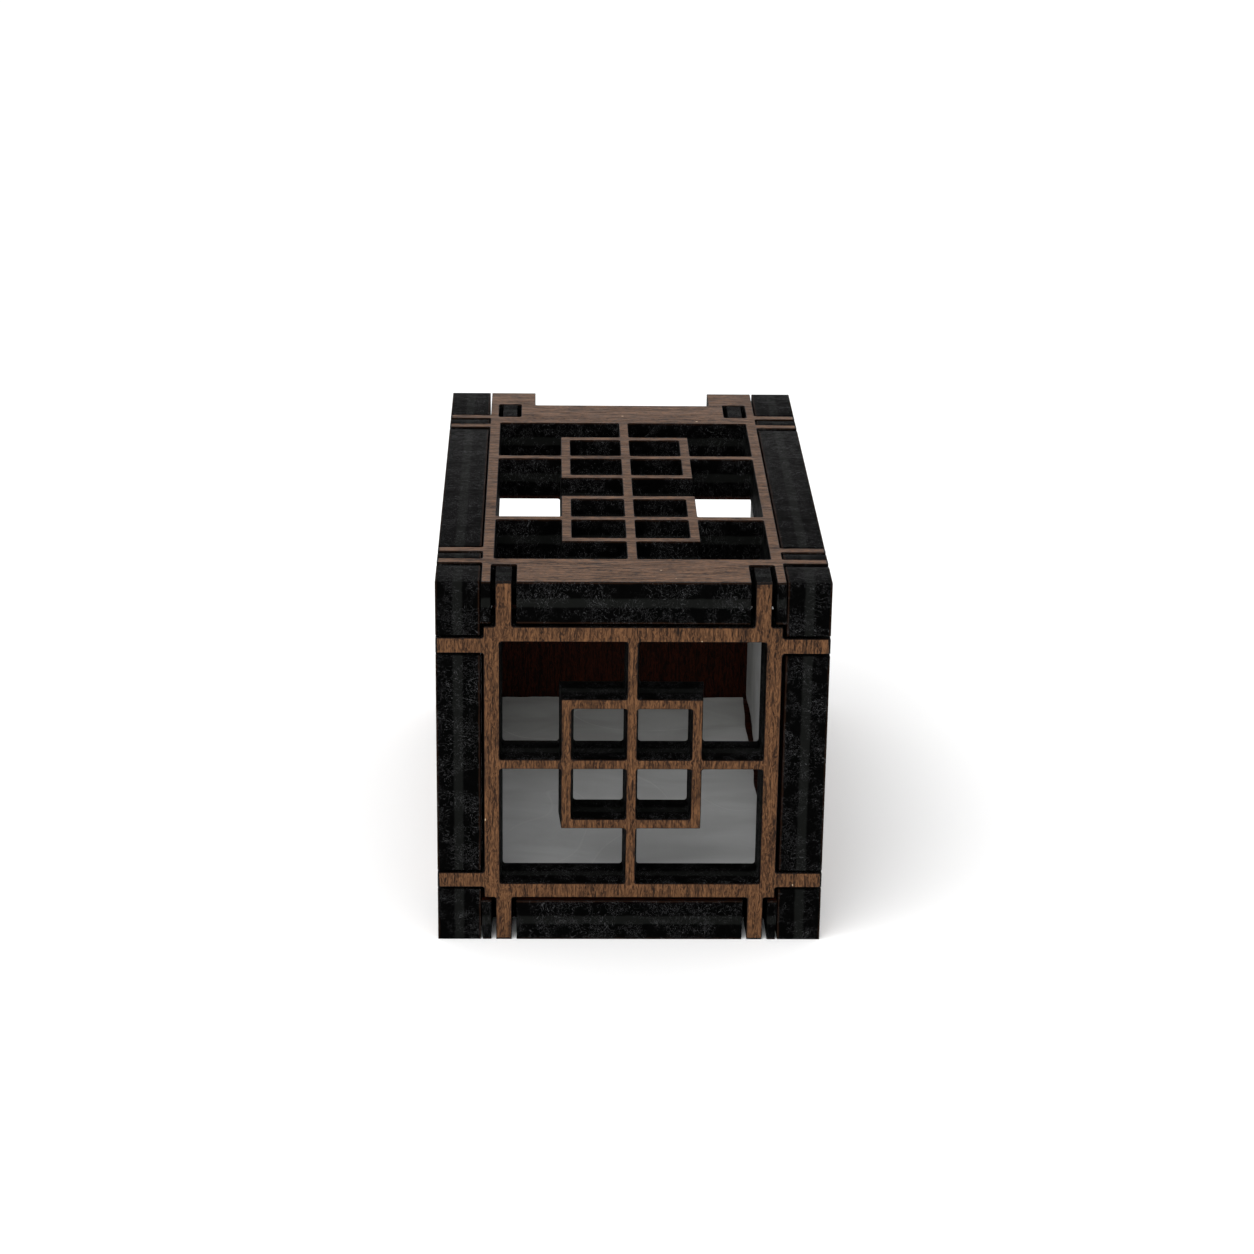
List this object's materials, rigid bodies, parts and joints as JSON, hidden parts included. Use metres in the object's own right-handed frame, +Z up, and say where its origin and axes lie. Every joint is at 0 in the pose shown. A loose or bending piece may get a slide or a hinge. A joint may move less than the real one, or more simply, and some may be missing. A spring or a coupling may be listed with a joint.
{
  "type": "puzzle box",
  "caption": "Small wooden lattice puzzle box whose slotted panels interlock without glue and pull apart, built of paired veneered boards and lined with white paper.",
  "frame": {"origin": "on the surface the box stands on, under the centre of its footprint", "axes": "+Z up, the front panel faces -Y, +X to the right seen from the front"},
  "size_m": [0.05, 0.08, 0.05],
  "materials": {
    "veneered_board": "open-grained walnut veneer on plywood, unpolished, with laser-charred black edges",
    "lining_paper": "thin matt white paper, slightly creased"
  },
  "bodies": {
    "rear": {"rear_panel_outer_board": "veneered_board", "rear_panel_inner_board": "veneered_board"},
    "front": {"front_panel_outer_board": "veneered_board", "front_panel_inner_board": "veneered_board"},
    "top": {"top_panel_outer_board": "veneered_board", "top_panel_inner_board": "veneered_board"},
    "bottom": {"bottom_panel_outer_board": "veneered_board", "bottom_panel_inner_board": "veneered_board", "floor_paper": "lining_paper"},
    "left": {"left_panel_outer_board": "veneered_board", "left_panel_inner_board": "veneered_board", "left_wall_paper": "lining_paper"},
    "right": {"right_panel_outer_board": "veneered_board", "right_panel_inner_board": "veneered_board", "right_wall_paper": "lining_paper"}
  },
  "joints": [
    {"name": "front_pull", "type": "slide", "parent": "rear", "child": "front", "axis": [0, -1, 0], "range_m": [0, 0.03]},
    {"name": "top_lift", "type": "slide", "parent": "rear", "child": "top", "axis": [0, 0, 1], "range_m": [0, 0.03]},
    {"name": "bottom_drop", "type": "slide", "parent": "rear", "child": "bottom", "axis": [0, 0, -1], "range_m": [0, 0.03]},
    {"name": "left_pull", "type": "slide", "parent": "rear", "child": "left", "axis": [-1, 0, 0], "range_m": [0, 0.03]},
    {"name": "right_pull", "type": "slide", "parent": "rear", "child": "right", "axis": [1, 0, 0], "range_m": [0, 0.03]}
  ]
}
